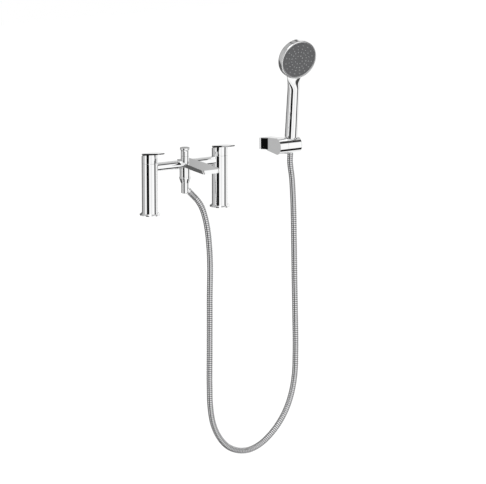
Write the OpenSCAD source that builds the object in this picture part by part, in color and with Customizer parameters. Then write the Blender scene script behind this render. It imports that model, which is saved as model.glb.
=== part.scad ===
// Deck-mounted bath shower mixer with a metal hose, a round handset and a swivelling wall bracket.
// Millimetres, +Z up. The origin lies on the deck, midway between the two pillars.
// The spout points to -Y, and the wall that carries the bracket is on the +Y side.

/* [Pillars] */
// Distance between the two pillar axes
pillar_spacing = 180; // [170:1:200]
// Outside diameter of a pillar and of its handle cap
pillar_d = 36; // [35:0.5:42]
// Height of a pillar body above the deck
pillar_h = 118; // [112:1:140]
// Diameter of the flared base flange
flange_d = 46; // [44:0.5:60]
// Height of the base flange
flange_h = 5; // [4:0.5:8]
// Thickness of the rubber gasket under the flange
gasket_t = 1.5; // [1:0.1:1.8]
// Minor diameter of the tail thread in a pillar's foot
tail_thread_d = 24.12; // [24:0.01:24.3]
// Depth of the tail thread
tail_depth = 16; // [12:1:24]
// Diameter of the waterway inside a pillar
waterway_d = 14; // [10:0.5:15]

/* [Valve cartridges] */
// Diameter of a cartridge body
cartridge_d = 20; // [19.5:0.5:22]
// Depth of the cartridge seat below the top of the pillar
cartridge_depth = 24; // [22:0.5:30]
// Diameter of the ceramic discs
disc_d = 16; // [15:0.5:17]
// Thickness of one ceramic disc
disc_t = 3; // [2:0.1:3]
// Thickness of the rubber seat seal
seat_seal_t = 2.5; // [2:0.1:3]
// Diameter of the spindle
spindle_d = 8; // [7:0.5:9]
// Height of the spindle above the top of the pillar
spindle_out = 17; // [15:0.5:18]
// Width of the cartridge hexagon across its corners
cartridge_hex = 27; // [25:0.5:28]
// Height of the cartridge hexagon
cartridge_hex_h = 5; // [4:0.5:6]
// Diameter of the cartridge neck
cartridge_neck_d = 14; // [12:0.5:18]
// Height of the cartridge neck
cartridge_neck_h = 5; // [3:0.5:6]
// Diameter of the side windows of a cartridge
window_d = 6; // [4:0.5:6]

/* [Lever handles] */
// Height of the cap at its axis, from the seam to the top face
cap_h = 21.7; // [21:0.1:26]
// Wall of the hollow cap
cap_wall = 3; // [2.5:0.1:3.5]
// Reach of the lever from the pillar axis to its tip
lever_reach = 57; // [50:1:90]
// Width of the blunt lever tip
lever_tip_w = 19; // [14:0.5:24]
// Radius of the tip's corners
lever_corner_r = 4; // [2:0.5:6]
// Thickness of the blade at the pillar axis
lever_t = 4.5; // [4.5:0.1:6]
// Rise of the blade's top face towards its tip, in degrees
lever_rise = 9; // [6:0.5:12]
// Diameter of the grub screw that holds a handle
grub_d = 4; // [3:0.5:4]
// Diameter of the coloured plug over the grub screw
plug_d = 5; // [4.5:0.1:5]

/* [Bridge and spout] */
// Diameter of the bridge bar
bridge_d = 20; // [18:0.5:24]
// Depth of the bridge axis below the top of the pillars
bridge_drop = 12; // [12:0.5:16]
// Bore of the bridge bar
bridge_bore_d = 11; // [8:0.5:12]
// Diameter of the barrel at the middle of the bridge
barrel_d = 24; // [23:0.5:26]
// Depth of the barrel's lower face below the bridge axis
outlet_drop = 28.5; // [26:0.5:34]
// Largest width of the spout blade
spout_w = 47; // [42:0.5:52]
// Radius of the spout's bowed sides
spout_bow_r = 715; // [600:5:1500]
// Distance of the spout's widest place in front of the bridge axis
spout_widest = 97; // [80:1:110]
// Reach of the spout from the bridge axis
spout_reach = 120; // [110:1:160]
// Reach of the spout behind the bridge axis
spout_back = 8; // [5:0.5:9]
// Thickness of the spout's skin over the bridge bar
spout_skin = 0.7; // [0.6:0.1:2]
// Thickness of the spout blade at the bridge axis
spout_t = 11.9; // [11.5:0.1:13]
// Fall of the spout's top face towards its tip, in degrees
spout_fall = 1.4; // [0:0.1:1.6]
// Wall above and below the spout's water channel
spout_wall = 1.7; // [1.5:0.1:1.9]
// Height of the spout's water channel
channel_h = 5; // [4:0.1:5]
// Width of the spout's water channel
channel_w = 22; // [16:1:26]
// Radius of the spout's front corners
spout_corner_r = 6; // [3:0.5:10]
// Distance from the spout's tip to its water outlet
spout_lip = 8; // [6:0.5:12]
// Depth of the water outlet along the spout
outlet_slot = 9; // [7:0.5:12]

/* [Diverter] */
// Diameter of the diverter knob and its bonnet
knob_d = 18.5; // [18:0.5:22]
// Height of the knob's shaft below its rim
knob_h = 14; // [12:0.5:20]
// Diameter of the knob's rim
knob_rim_d = 22; // [22:0.5:26]
// Height of the knob's rim
knob_rim_h = 5; // [4:0.5:7]
// Height of the diverter boss above the spout's top face
boss_h = 3.3; // [2.5:0.1:6]
// Height of the visible ring of the bonnet
bonnet_h = 4; // [3:0.5:6]
// Bore of the diverter chamber
diverter_bore_d = 15; // [14.5:0.1:16]
// Diameter of the lift rod
rod_d = 5; // [4:0.5:6]
// Lift of the diverter
diverter_travel = 10; // [6:0.5:10]

/* [Shower outlet] */
// Bore of the shower outlet
outlet_bore_d = 10; // [8:0.5:11]
// Thread diameter of the outlet spigot
spigot_d = 20; // [20:0.1:20.5]
// Length of the outlet spigot
spigot_h = 8.5; // [7:0.5:10]
// Largest diameter of the conical union nut
union_nut_d = 26; // [25.5:0.5:30]
// Diameter of the elbow's upright tube
elbow_d = 17.5; // [17:0.5:18]
// Height of the elbow from its flat bottom to its sealing face
elbow_h = 27.4; // [26:0.1:32]
// Height of the branch axis above the elbow's bottom
branch_rise = 12.5; // [11:0.1:14]
// Slope of the branch below the horizontal, in degrees
branch_down = 47; // [44:1:52]
// Heading of the branch from +X towards -Y, in degrees
branch_heading = 20; // [15:1:25]
// Diameter of the branch
branch_d = 14; // [13:0.5:15]
// Length of the branch from the elbow's axis
branch_l = 10; // [10:0.5:12]
// Diameter of the branch's threaded nipple
nipple_d = 11; // [10:0.5:11]
// Length of the threaded nipple
nipple_l = 5.5; // [5:0.1:6]

/* [Hose] */
// Outside diameter of the ribbed hose
hose_d = 14; // [12:0.5:14]
// Bore of the hose
hose_bore_d = 8; // [7:0.5:9]
// Depth of the groove between two ribs
rib_depth = 0.8; // [0.4:0.1:1]
// Number of ribs on the long stretch
hose_ribs = 178; // [120:1:180]
// Number of ribs on the short stretch below the handset
upper_ribs = 20; // [12:1:20]
// Length of the short stretch below the handset
upper_length = 130; // [100:5:160]
// Diameter of the swivel collar at the elbow
collar_d = 16; // [15.5:0.5:18]
// Length of the swivel collar
collar_l = 4; // [3:0.5:5]
// Diameter of the smooth ferrule behind the collar
ferrule_d = 13.6; // [13.5:0.1:15]
// Length of the ferrule
ferrule_l = 6.5; // [6:0.5:10]
// Thickness of the sealing washers
washer_t = 1.5; // [1:0.1:2]

/* [Wall bracket] */
// Distance of the handset seat from the mixer's middle
seat_x = 288; // [280:1:320]
// Distance of the wall behind the pillar axes
wall_y = 72; // [66:1:90]
// Distance of the swivel axis in front of the wall
bracket_reach = 54; // [48:1:60]
// Height of the swivel axis above the deck
bracket_z = 117; // [117:1:150]
// Diameter of the knuckle and the swivel holder
holder_d = 37.4; // [36:0.2:42]
// Width of the fixed knuckle
knuckle_w = 21; // [18:0.5:26]
// Width of the swivel holder
holder_w = 36.7; // [35:0.1:42]
// Distance of the seat from the knuckle's end
seat_inset = 17; // [16:0.5:20]
// Diameter of the holder's pivot spigot
pivot_d = 22; // [18:0.5:24]
// Length of the pivot spigot inside the knuckle
pivot_l = 12; // [9:0.5:13]
// Diameter of the pivot bolt
bolt_d = 6; // [5:0.5:6]
// Diameter of the pivot bolt's head
bolt_head_d = 9; // [8:0.5:9]
// Width and height of the square wall block
block_w = 26; // [25:0.5:32]
// Overhang of the wall block past the knuckle's end
block_overhang = 14; // [10:0.5:16]
// Thickness of the wall plate
plate_t = 5; // [4.5:0.1:6]
// Distance between the two wall screws
screw_spacing = 12; // [10:0.5:12]
// Diameter of the wall screw holes
screw_hole_d = 4.5; // [4:0.1:5]

/* [Handset] */
// Tilt of the handset and its seat towards the front, in degrees
handset_tilt = 5; // [3:0.5:8]
// Diameter of the cone nut at the hose
cone_small_d = 15.6; // [15:0.1:16.5]
// Diameter of the cone nut below the handle
cone_large_d = 22.4; // [21.5:0.1:23]
// Diameter of the handle above the holder
handle_low_d = 30; // [28:0.5:31]
// Diameter of the handle below the head
handle_top_d = 27.5; // [25:0.5:29]
// Length of the straight part of the handle
handle_l = 125; // [118:1:130]
// Bore of the handle
handle_bore_d = 13; // [12:0.5:15]
// Thread diameter of the inlet connector
connector_d = 18; // [17:0.5:18]
// Diameter of the spray head
head_d = 92; // [91:1:110]
// Depth of the head's straight rim
rim_depth = 13; // [12:0.5:16]
// Height of the head's domed back behind the rim
dome_h = 15; // [12:0.5:20]
// Diameter of the spray plate
plate_d = 81; // [76:0.5:81.5]
// Height of the head's centre above the swivel axis
head_rise = 201.2; // [198:0.2:215]
// Distance of the spray face in front of the swivel axis
head_forward = 35; // [33:0.2:42]
// Lean of the spray face towards the floor, in degrees
face_tilt = 13; // [8:0.5:16]
// Diameter of one spray nozzle
nozzle_d = 2.2; // [1.6:0.1:2.6]

/* [Hidden] */

$fn = 64;
HOT = -1;
COLD = 1;

// Clearances: fixed and running fits, free gaps between moving faces, gaps between seated faces
fit = 0.05;
clear = 0.3;
face_gap = 0.05;
// Overshoot of a cut past the face that it opens
cut = 1;
// Small edge break on turned pieces
edge = 0.6;
// Steps of a turned flare or a round edge
flare_steps = 8;

// Colours
CHROME = [0.80, 0.81, 0.83];
BRASS = [0.78, 0.62, 0.30];
STEEL = [0.60, 0.61, 0.63];
RUBBER = [0.10, 0.10, 0.11];
CERAMIC = [0.92, 0.91, 0.88];
GREY_PLASTIC = [0.36, 0.37, 0.38];
LIGHT_RUBBER = [0.66, 0.67, 0.68];
WHITE_PLASTIC = [0.90, 0.90, 0.90];
RED = [0.75, 0.08, 0.08];
BLUE = [0.10, 0.20, 0.70];

// Heights in the pillars
bridge_z = pillar_h - bridge_drop;
seat_z = pillar_h - cartridge_depth;
cartridge_z = seat_z + seat_seal_t;
moving_disc_z = cartridge_z + disc_t + face_gap;
spindle_z = moving_disc_z + disc_t + face_gap;
cavity_top = bridge_z + window_d / 2 + 1;
chamber_d = cartridge_d + 2 * fit;
spindle_bar = [disc_d - 2.6, 3.5, 1.5];
port_d = 4.5;
port_r = disc_d / 2 - port_d / 2 - 1.2;

// Base flange
flange_land = 1.2;
flange_rim_h = gasket_t + 0.5;
flange_rim_w = 2;
flange_bore_d = pillar_d + 2 * fit;

// Handle: the blade's two faces are planes that meet the axis at these heights
cap_z = pillar_h + clear;
blade_top_z = cap_z + cap_h;
blade_thinning = 1.5;
cap_bore_d = pillar_d - 2 * cap_wall;
cap_ceiling_z = pillar_h + cartridge_hex_h + cartridge_neck_h + cut;
plane_span = 4 * max(lever_reach, spout_reach);
grub_z = cap_ceiling_z + plug_d / 2 + 0.8;
grub_l = 6;
grub_y = spindle_d / 2 + 0.1;
plug_seat_y = grub_y + grub_l + 1;

// Bridge: how deep its ends sit in the pillars, and the diverter chamber
socket_wall = 2;
socket_floor = chamber_d / 2 + socket_wall;
bridge_half = pillar_spacing / 2 - socket_floor - face_gap;
outlet_z = bridge_z - outlet_drop;
spigot_z = outlet_z - spigot_h;
spout_top_z = bridge_z + bridge_d / 2 + spout_skin;
spout_z = spout_top_z - spout_t;
barrel_top_z = spout_z + channel_h + 2 * spout_wall;
port_w = barrel_d * 0.6;
outlet_slot_w = channel_w + 2;
straightener_slots = 4;

// Diverter heights
boss_top_z = spout_top_z + boss_h;
diverter_drop = 14;
diverter_seat_z = bridge_z - diverter_drop;
diverter_seal_z = diverter_seat_z + clear;
diverter_seal_t = 2;
diverter_plug_z = diverter_seal_z + diverter_seal_t + face_gap;
diverter_plug_h = 4;
plug_clear = 0.6;
bonnet_z = boss_top_z + face_gap;
bonnet_spigot_z = diverter_plug_z + diverter_plug_h + diverter_travel + 2.5;
knob_z = bonnet_z + bonnet_h + clear;
rod_top_z = knob_z + knob_h - 4;

// Union nut and elbow
elbow_washer_z = spigot_z - face_gap - washer_t;
elbow_flange_t = 1.5;
elbow_top_z = elbow_washer_z - face_gap;
elbow_flange_z = elbow_top_z - elbow_flange_t;
elbow_z = elbow_top_z - elbow_h;
elbow_flange_d = spigot_d - 0.4;
nut_lip_h = 2;
nut_lip_wall = 1;
branch_z = elbow_z + branch_rise;
branch_bore_d = nipple_d - 3;
collar_at = branch_l + face_gap;
ferrule_at = collar_at + collar_l + face_gap;
inlet_washer_at = branch_l + nipple_l + face_gap;
ferrule_step = inlet_washer_at + washer_t + face_gap;
hose_at = ferrule_at + ferrule_l + face_gap;

// Wall bracket
swivel_y = wall_y - bracket_reach;
knuckle_x1 = seat_x - seat_inset;
knuckle_x0 = knuckle_x1 - knuckle_w;
holder_x0 = knuckle_x1 + clear;
pivot_floor_x = knuckle_x1 - pivot_l;
friction_washer_t = 0.6;
bolt_head_h = 4;
seat_mid_d = (cone_small_d + cone_large_d) / 2 + 2 * clear;
bolt_head_x1 = seat_x - seat_mid_d / 2 - 0.8;
bolt_seat_x = bolt_head_x1 - bolt_head_h;
bolt_thread_l = 5.5;
block_x0 = knuckle_x0 - block_overhang;
block_x1 = block_x0 + block_w;
block_wall = 3;
block_side = 2;
block_back_x1 = max(block_x1, knuckle_x1 - 4);
block_front = block_side + block_overhang;
plate_w = block_w - 2 * block_wall - 2 * fit;
plate_pocket = plate_t + 0.5;
plate_x = block_x0 + plate_pocket + 1 + plate_w / 2;
block_depth = 13;
arm_end_h = block_w / 2;

// Handset: heights along its tilted axis, from the swivel axis
cone_s0 = -17;
handle_s0 = holder_d / 2 + 0.8;
cone_s1 = handle_s0 - 2 * face_gap;
cone_taper = (cone_large_d - cone_small_d) / (cone_s1 - cone_s0);
seat_half = holder_d / 2 + 2;
connector_s0 = 8;
washer_s0 = connector_s0 - washer_t - face_gap;
nut_step_s = washer_s0 - face_gap;
connector_spigot_l = 11;
limiter_d = handle_bore_d - 4;
limiter_s0 = 12;
limiter_h = 4;
head_y = swivel_y - head_forward;
head_z = bracket_z + head_rise;
neck_l = 4;
neck_step = 0.6;
neck_disc_d = 50;
neck_drop = 11;
rim_edge = 2.4;
inlet_drop = head_d / 2 - 15;
inlet_d = 10;
handle_bore_s1 = (head_forward * sin(face_tilt) + head_rise * cos(face_tilt) - inlet_drop)
    / cos(face_tilt - handset_tilt);

// Spray face, as depths behind the front plane of the head
rim_w = 3;
face_bore_d = head_d - 2 * rim_w;
plate_front = 1.3;
spray_plate_t = 2.1;
plate_back = plate_front + spray_plate_t;
mat_front = plate_back + face_gap;
mat_t = 1.5;
distributor_front = mat_front + mat_t + face_gap;
chamber_depth = rim_depth - 3;
distributor_back = chamber_depth - face_gap;
nozzle_out = 0.7;
nozzle_rings = [[9.7, 8], [19, 16], [26, 16], [34.2, 16]];
nozzle_scale = plate_d / 81;

// Hose route: the two ends follow the fittings, and the points between them are chosen by hand
branch_dir = [cos(branch_down) * cos(branch_heading), -cos(branch_down) * sin(branch_heading),
    -sin(branch_down)];
seat_dir = [0, -sin(handset_tilt), cos(handset_tilt)];
hose_start = [0, 0, branch_z] + hose_at * branch_dir;
hose_end = [seat_x, swivel_y, bracket_z] + (cone_s0 - face_gap) * seat_dir;
hose_points = [[29.5, -11, 17], [35.5, -13, 5.5], [43, -15.5, -19], [48, -17.5, -47.5],
    [52, -18.5, -90], [52.5, -18.5, -221.5], [53, -17, -327], [53.5, -15.5, -409.5], [56, -14.5, -462],
    [64, -13.5, -503.5], [80, -12, -537], [104, -10, -563.5], [133, -7.5, -578], [163.5, -5, -582],
    [194.5, -2.5, -574], [223, 0, -556.5], [248.5, 2, -532], [269, 4, -503], [284.5, 6, -467.5],
    [294, 8, -427], [297.5, 9.5, -370.5], [297.5, 11.5, -282.5], [296.5, 13.5, -188], [296, 15.5, -101],
    [295.5, 18, -24], [293, 20, 37]];
route = concat([hose_start + hose_d * branch_dir], hose_points, [hose_end - hose_d * seat_dir]);
route_last = len(route) - 1;
route_steps = 10;
hose_sides = 8;
bore_step = 22;

// Smooth curve through the route, with its end directions held
function chord(i) = norm(route[i + 1] - route[i]);
function slope(i) = (route[i + 1] - route[i]) / chord(i);
function heading(i) = i == 0 ? branch_dir : i == route_last ? seat_dir :
    (slope(i - 1) * chord(i) + slope(i) * chord(i - 1)) / (chord(i - 1) + chord(i));
function curve(i, t) = let (h = chord(i), u = 1 - t)
    route[i] * (1 + 2 * t) * u * u + heading(i) * h * t * u * u
    + route[i + 1] * t * t * (3 - 2 * t) - heading(i + 1) * h * t * t * u;
hose_line = concat([hose_start],
    [for (i = [0:route_last - 1]) for (k = [0:route_steps - 1]) curve(i, k / route_steps)],
    [route[route_last], hose_end]);
hose_runs = [for (i = 0, s = 0; i < len(hose_line);
    i = i + 1, s = s + (i < len(hose_line) ? norm(hose_line[i] - hose_line[i - 1]) : 0)) s];
hose_length = hose_runs[len(hose_runs) - 1];
hose_split = hose_length - upper_length;
hose_xs = [for (i = [0:len(hose_line) - 1]) [hose_runs[i], hose_line[i].x]];
hose_ys = [for (i = [0:len(hose_line) - 1]) [hose_runs[i], hose_line[i].y]];
hose_zs = [for (i = [0:len(hose_line) - 1]) [hose_runs[i], hose_line[i].z]];
function hose_point(s) = [lookup(s, hose_xs), lookup(s, hose_ys), lookup(s, hose_zs)];
function unit(v) = v / norm(v);
function hose_heading(s) = unit(hose_point(min(s + 2, hose_length)) - hose_point(max(s - 2, 0)));
function hose_ring(s, r) = let (t = hose_heading(s), n = unit(cross(t, [0, 1, 0])), b = cross(t, n))
    [for (k = [0:hose_sides - 1]) let (a = 360 * k / hose_sides)
        hose_point(s) + r * (cos(a) * n + sin(a) * b)];

// Quarter curve from a wide foot up to a narrow top, hollow towards the outside
function flare(r_foot, z_foot, r_top, z_top) = [for (i = [0:flare_steps]) let (t = 90 * i / flare_steps)
    [r_foot - (r_foot - r_top) * sin(t), z_foot + (z_top - z_foot) * (1 - cos(t))]];
// Quarter round that turns an outside corner from a side face to an end face
function round_edge(r, z, radius) = [for (i = [0:flare_steps]) let (t = 90 * i / flare_steps)
    [r - radius + radius * cos(t), z - radius + radius * sin(t)]];

module at_pillar(side) translate([side * pillar_spacing / 2, 0, 0]) children();
module at_height(z) translate([0, 0, z]) children();
module along_y(y, z) translate([0, y, z]) rotate([-90, 0, 0]) children();
module on_branch() translate([0, 0, branch_z]) rotate([0, 90 + branch_down, -branch_heading]) children();
module on_swivel(x) translate([x, swivel_y, bracket_z]) rotate([0, 90, 0]) children();
module on_seat() translate([seat_x, swivel_y, bracket_z]) rotate([handset_tilt, 0, 0]) children();
module on_face(depth) translate([seat_x, head_y, head_z]) rotate([90 + face_tilt, 0, 0])
    at_height(-depth) children();
module ring(outer, inner, h) difference() {
    cylinder(d = outer, h = h);
    at_height(-cut) cylinder(d = inner, h = h + 2 * cut);
}

// Pillars and their feet
module pillar(side) color(CHROME) at_pillar(side) difference() {
    rotate_extrude() polygon(concat([[0, 0], [pillar_d / 2, 0]], round_edge(pillar_d / 2, pillar_h, edge),
        [[0, pillar_h]]));
    at_height(-cut) cylinder(d = tail_thread_d, h = tail_depth + cut);
    cylinder(d = waterway_d, h = seat_z + cut);
    at_height(seat_z) cylinder(d = chamber_d, h = cartridge_depth + cut);
    at_height(bridge_z) rotate([0, -90 * side, 0]) {
        cylinder(d = bridge_bore_d, h = pillar_d);
        at_height(socket_floor) cylinder(d = bridge_d + 2 * fit, h = pillar_d);
    }
}

module base_flange(side) color(CHROME) at_pillar(side) rotate_extrude() polygon(concat(
    [[flange_bore_d / 2, gasket_t + face_gap], [flange_d / 2 - flange_rim_w, gasket_t + face_gap],
        [flange_d / 2 - flange_rim_w, 0], [flange_d / 2, 0]],
    flare(flange_d / 2, flange_rim_h, flange_bore_d / 2 + flange_land, flange_h),
    [[flange_bore_d / 2, flange_h]]));

module base_gasket(side) color(RUBBER) at_pillar(side)
    ring(flange_d - 2 * flange_rim_w - 2 * fit, flange_bore_d, gasket_t);

// Valve cartridges
module cartridge_body(side) color(BRASS) at_pillar(side) difference() {
    union() {
        at_height(cartridge_z) cylinder(d = cartridge_d, h = pillar_h + face_gap - cartridge_z);
        at_height(pillar_h + face_gap) cylinder(d = cartridge_hex, h = cartridge_hex_h, $fn = 6);
        at_height(pillar_h + cartridge_hex_h) cylinder(d = cartridge_neck_d, h = cartridge_neck_h);
    }
    at_height(cartridge_z - cut) cylinder(d = disc_d + 2 * fit, h = cavity_top - cartridge_z + cut);
    at_height(cartridge_z) cylinder(d = spindle_d + 2 * fit, h = pillar_h);
    at_height(bridge_z) rotate([0, 90, 0]) cylinder(d = window_d, h = 2 * cartridge_d, center = true);
}

module disc(side, z, d, turn) color(CERAMIC) at_pillar(side) difference() {
    at_height(z) cylinder(d = d, h = disc_t);
    for (a = [0, 180]) rotate([0, 0, turn + a]) translate([port_r, 0, z - cut])
        cylinder(d = port_d, h = disc_t + 2 * cut);
}

module fixed_disc(side) disc(side, cartridge_z, disc_d, 0);
module moving_disc(side) disc(side, moving_disc_z, disc_d - 2 * clear, 90);

module spindle(side) color(STEEL) at_pillar(side) union() {
    at_height(spindle_z + spindle_bar.z / 2) cube(spindle_bar, center = true);
    at_height(spindle_z) cylinder(d = spindle_d, h = pillar_h + spindle_out - spindle_z);
}

module seat_seal(side) color(RUBBER) at_pillar(side) at_height(seat_z + face_gap)
    ring(cartridge_d - 1, waterway_d, seat_seal_t - 2 * face_gap);

// Lever handles: an upright prism between two sloping planes, on a hollow cap
module blade_outline() {
    corner = [lever_tip_w / 2 - lever_corner_r, -lever_reach + lever_corner_r];
    lean = atan2(corner.y, corner.x) + acos((pillar_d / 2 - lever_corner_r) / norm(corner));
    side = [cos(lean), sin(lean)];
    edge_line = [pillar_d / 2 * side, corner + lever_corner_r * side, corner - [0, lever_corner_r]];
    circle(d = pillar_d);
    polygon(concat(edge_line, [for (i = [2:-1:0]) [-edge_line[i].x, edge_line[i].y]]));
    for (x = [-1, 1]) translate([x * corner.x, corner.y]) circle(r = lever_corner_r);
}

module below_plane(z, rise) at_height(z) rotate([-rise, 0, 0])
    translate([-plane_span / 2, -plane_span / 2, -plane_span]) cube(plane_span);

module lever_handle(side) color(CHROME) at_pillar(side) difference() {
    union() {
        difference() {
            intersection() {
                at_height(cap_z) linear_extrude(2 * lever_reach) blade_outline();
                below_plane(blade_top_z, lever_rise);
            }
            below_plane(blade_top_z - lever_t, lever_rise + blade_thinning);
        }
        intersection() {
            at_height(cap_z) cylinder(d = pillar_d, h = lever_reach);
            below_plane(blade_top_z - lever_t / 2, lever_rise);
        }
    }
    at_height(cap_z - cut) cylinder(d = cap_bore_d, h = cap_ceiling_z - cap_z + cut);
    at_height(cap_z) cylinder(d = spindle_d + 2 * fit, h = pillar_h + spindle_out + fit - cap_z);
    along_y(0, grub_z) cylinder(d = grub_d + 2 * fit, h = pillar_d / 2);
    along_y(plug_seat_y, grub_z) cylinder(d = plug_d + 2 * fit, h = pillar_d / 2);
}

module grub_screw(side) color(STEEL) at_pillar(side) along_y(grub_y, grub_z) difference() {
    cylinder(d = grub_d, h = grub_l);
    at_height(grub_l / 2) cylinder(d = grub_d / 2, h = grub_l, $fn = 6);
}

module index_plug(side, tint) color(tint) at_pillar(side) along_y(plug_seat_y + face_gap, grub_z)
    cylinder(d = plug_d, h = pillar_d / 2 - plug_seat_y - clear);

// Bridge, with the diverter chamber in its barrel
module bridge() color(CHROME) difference() {
    union() {
        at_height(bridge_z) rotate([0, 90, 0]) cylinder(d = bridge_d, h = 2 * bridge_half, center = true);
        at_height(outlet_z) cylinder(d = barrel_d, h = barrel_top_z - outlet_z);
        at_height(bridge_z) cylinder(d = knob_d, h = boss_top_z - bridge_z);
        at_height(spigot_z) cylinder(d = spigot_d, h = spigot_h + cut);
    }
    at_height(bridge_z) rotate([0, 90, 0])
        cylinder(d = bridge_bore_d, h = 2 * bridge_half + 2 * cut, center = true);
    at_height(diverter_seat_z) cylinder(d = diverter_bore_d, h = boss_top_z - diverter_seat_z + cut);
    at_height(spigot_z - cut) cylinder(d = outlet_bore_d, h = diverter_seat_z - spigot_z + 2 * cut);
    translate([-port_w / 2, -barrel_d, spout_z + spout_wall]) cube([port_w, barrel_d, channel_h]);
}

// Spout blade: bowed sides, a sloping top face and a saddle over the bridge bar
function spout_half_w(y) = spout_w / 2 - spout_bow_r + sqrt(pow(spout_bow_r, 2) - pow(y - spout_widest, 2));

module spout_outline() {
    corner_y = spout_reach - spout_corner_r;
    corner_x = spout_half_w(corner_y) - spout_corner_r;
    intersection() {
        union() {
            translate([-spout_w / 2, -corner_y]) square([spout_w, corner_y + spout_back]);
            translate([-corner_x, -spout_reach]) square([2 * corner_x, spout_corner_r + cut]);
            for (x = [-1, 1]) translate([x * corner_x, -corner_y]) circle(r = spout_corner_r);
        }
        translate([spout_w / 2 - spout_bow_r, -spout_widest]) circle(r = spout_bow_r, $fn = 720);
        translate([spout_bow_r - spout_w / 2, -spout_widest]) circle(r = spout_bow_r, $fn = 720);
    }
}

module spout() color(CHROME) difference() {
    intersection() {
        at_height(spout_z) linear_extrude(spout_t + cut) spout_outline();
        below_plane(spout_top_z, -spout_fall);
    }
    at_height(bridge_z) rotate([0, 90, 0])
        cylinder(d = bridge_d + 2 * fit, h = pillar_spacing, center = true);
    at_height(outlet_z) cylinder(d = barrel_d + 2 * fit, h = barrel_top_z + face_gap - outlet_z);
    at_height(outlet_z) cylinder(d = knob_d + 2 * fit, h = boss_top_z - outlet_z);
    translate([-channel_w / 2, -spout_reach + spout_lip, spout_z + spout_wall])
        cube([channel_w, spout_reach - spout_lip, channel_h]);
    translate([-outlet_slot_w / 2, -spout_reach + spout_lip, spout_z - cut])
        cube([outlet_slot_w, outlet_slot, spout_wall + 2 * cut]);
}

module flow_straightener() color(WHITE_PLASTIC) difference() {
    pitch = outlet_slot / (straightener_slots + 1);
    translate([-outlet_slot_w / 2 + fit, -spout_reach + spout_lip + fit, spout_z])
        cube([outlet_slot_w - 2 * fit, outlet_slot - 2 * fit, spout_wall]);
    for (i = [1:straightener_slots])
        translate([-channel_w / 2 + 1, -spout_reach + spout_lip + i * pitch - pitch / 4, spout_z - cut])
            cube([channel_w - 2, pitch / 2, spout_wall + 2 * cut]);
}

// Diverter
module diverter_bonnet() color(CHROME) difference() {
    union() {
        at_height(bonnet_z) cylinder(d = knob_d, h = bonnet_h);
        at_height(bonnet_spigot_z)
            cylinder(d = diverter_bore_d - 2 * fit, h = bonnet_z - bonnet_spigot_z + cut);
    }
    at_height(bonnet_spigot_z - cut) cylinder(d = rod_d + 2 * fit, h = boss_top_z);
}

module diverter_knob() color(CHROME) difference() {
    rim_z = knob_z + knob_h;
    rotate_extrude() polygon(concat([[0, knob_z], [knob_d / 2, knob_z], [knob_d / 2, rim_z - 2],
        [(knob_d + knob_rim_d) / 4 - 0.4, rim_z - 0.6], [knob_rim_d / 2, rim_z + 0.8]],
        round_edge(knob_rim_d / 2, rim_z + knob_rim_h, edge), [[0, rim_z + knob_rim_h]]));
    at_height(knob_z - cut) cylinder(d = rod_d + 2 * fit, h = rod_top_z - knob_z + cut + fit);
}

module diverter_rod() color(STEEL) at_height(diverter_seal_z)
    cylinder(d = rod_d, h = rod_top_z - diverter_seal_z);
module diverter_plug() color(BRASS) at_height(diverter_plug_z)
    ring(diverter_bore_d - 2 * plug_clear, rod_d + 2 * fit, diverter_plug_h);
module diverter_seal() color(RUBBER) at_height(diverter_seal_z)
    ring(diverter_bore_d - 2 * plug_clear, rod_d + 2 * fit, diverter_seal_t);

// Shower outlet
module elbow_nut() color(CHROME) rotate_extrude() let (
    bore = spigot_d / 2 + fit, neck = elbow_d / 2 + fit, top = outlet_z - face_gap,
    step = elbow_flange_z - face_gap, belly = top - 3.5)
    polygon([[bore, top], [union_nut_d / 2 - 0.8, top], [union_nut_d / 2, belly + 1],
        [union_nut_d / 2, belly], [neck + nut_lip_wall, step - nut_lip_h], [neck, step - nut_lip_h],
        [neck, step], [bore, step]]);

module elbow_washer() color(RUBBER) at_height(elbow_washer_z) ring(elbow_flange_d, outlet_bore_d, washer_t);

module elbow() color(CHROME) difference() {
    union() {
        difference() {
            rotate_extrude() polygon([[0, elbow_z], [elbow_d / 2 - edge, elbow_z],
                [elbow_d / 2, elbow_z + edge], [elbow_d / 2, elbow_top_z], [0, elbow_top_z]]);
            on_branch() at_height(branch_l) cylinder(d = collar_d + 2 * edge, h = elbow_d);
        }
        at_height(elbow_flange_z) cylinder(d = elbow_flange_d, h = elbow_flange_t);
        on_branch() cylinder(d = branch_d, h = branch_l);
        on_branch() cylinder(d = nipple_d, h = branch_l + nipple_l);
    }
    at_height(branch_z - outlet_bore_d / 3) cylinder(d = outlet_bore_d, h = spigot_z);
    on_branch() cylinder(d = branch_bore_d, h = branch_l + nipple_l + cut);
}

module hose_collar() color(CHROME) on_branch() at_height(collar_at) difference() {
    rotate_extrude() polygon([[0, 0], [collar_d / 2 - edge, 0], [collar_d / 2, edge],
        [collar_d / 2, collar_l - edge], [collar_d / 2 - edge, collar_l], [0, collar_l]]);
    at_height(-cut) cylinder(d = nipple_d + 2 * fit, h = collar_l + 2 * cut);
}

module hose_ferrule() color(CHROME) on_branch() difference() {
    at_height(ferrule_at) cylinder(d = ferrule_d, h = ferrule_l);
    at_height(ferrule_at - cut) cylinder(d = nipple_d + 2 * fit, h = ferrule_step - ferrule_at + cut);
    at_height(ferrule_at) cylinder(d = hose_bore_d, h = ferrule_l + cut);
}

module hose_inlet_washer() color(RUBBER) on_branch() at_height(inlet_washer_at)
    ring(nipple_d, hose_bore_d, washer_t);

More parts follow.
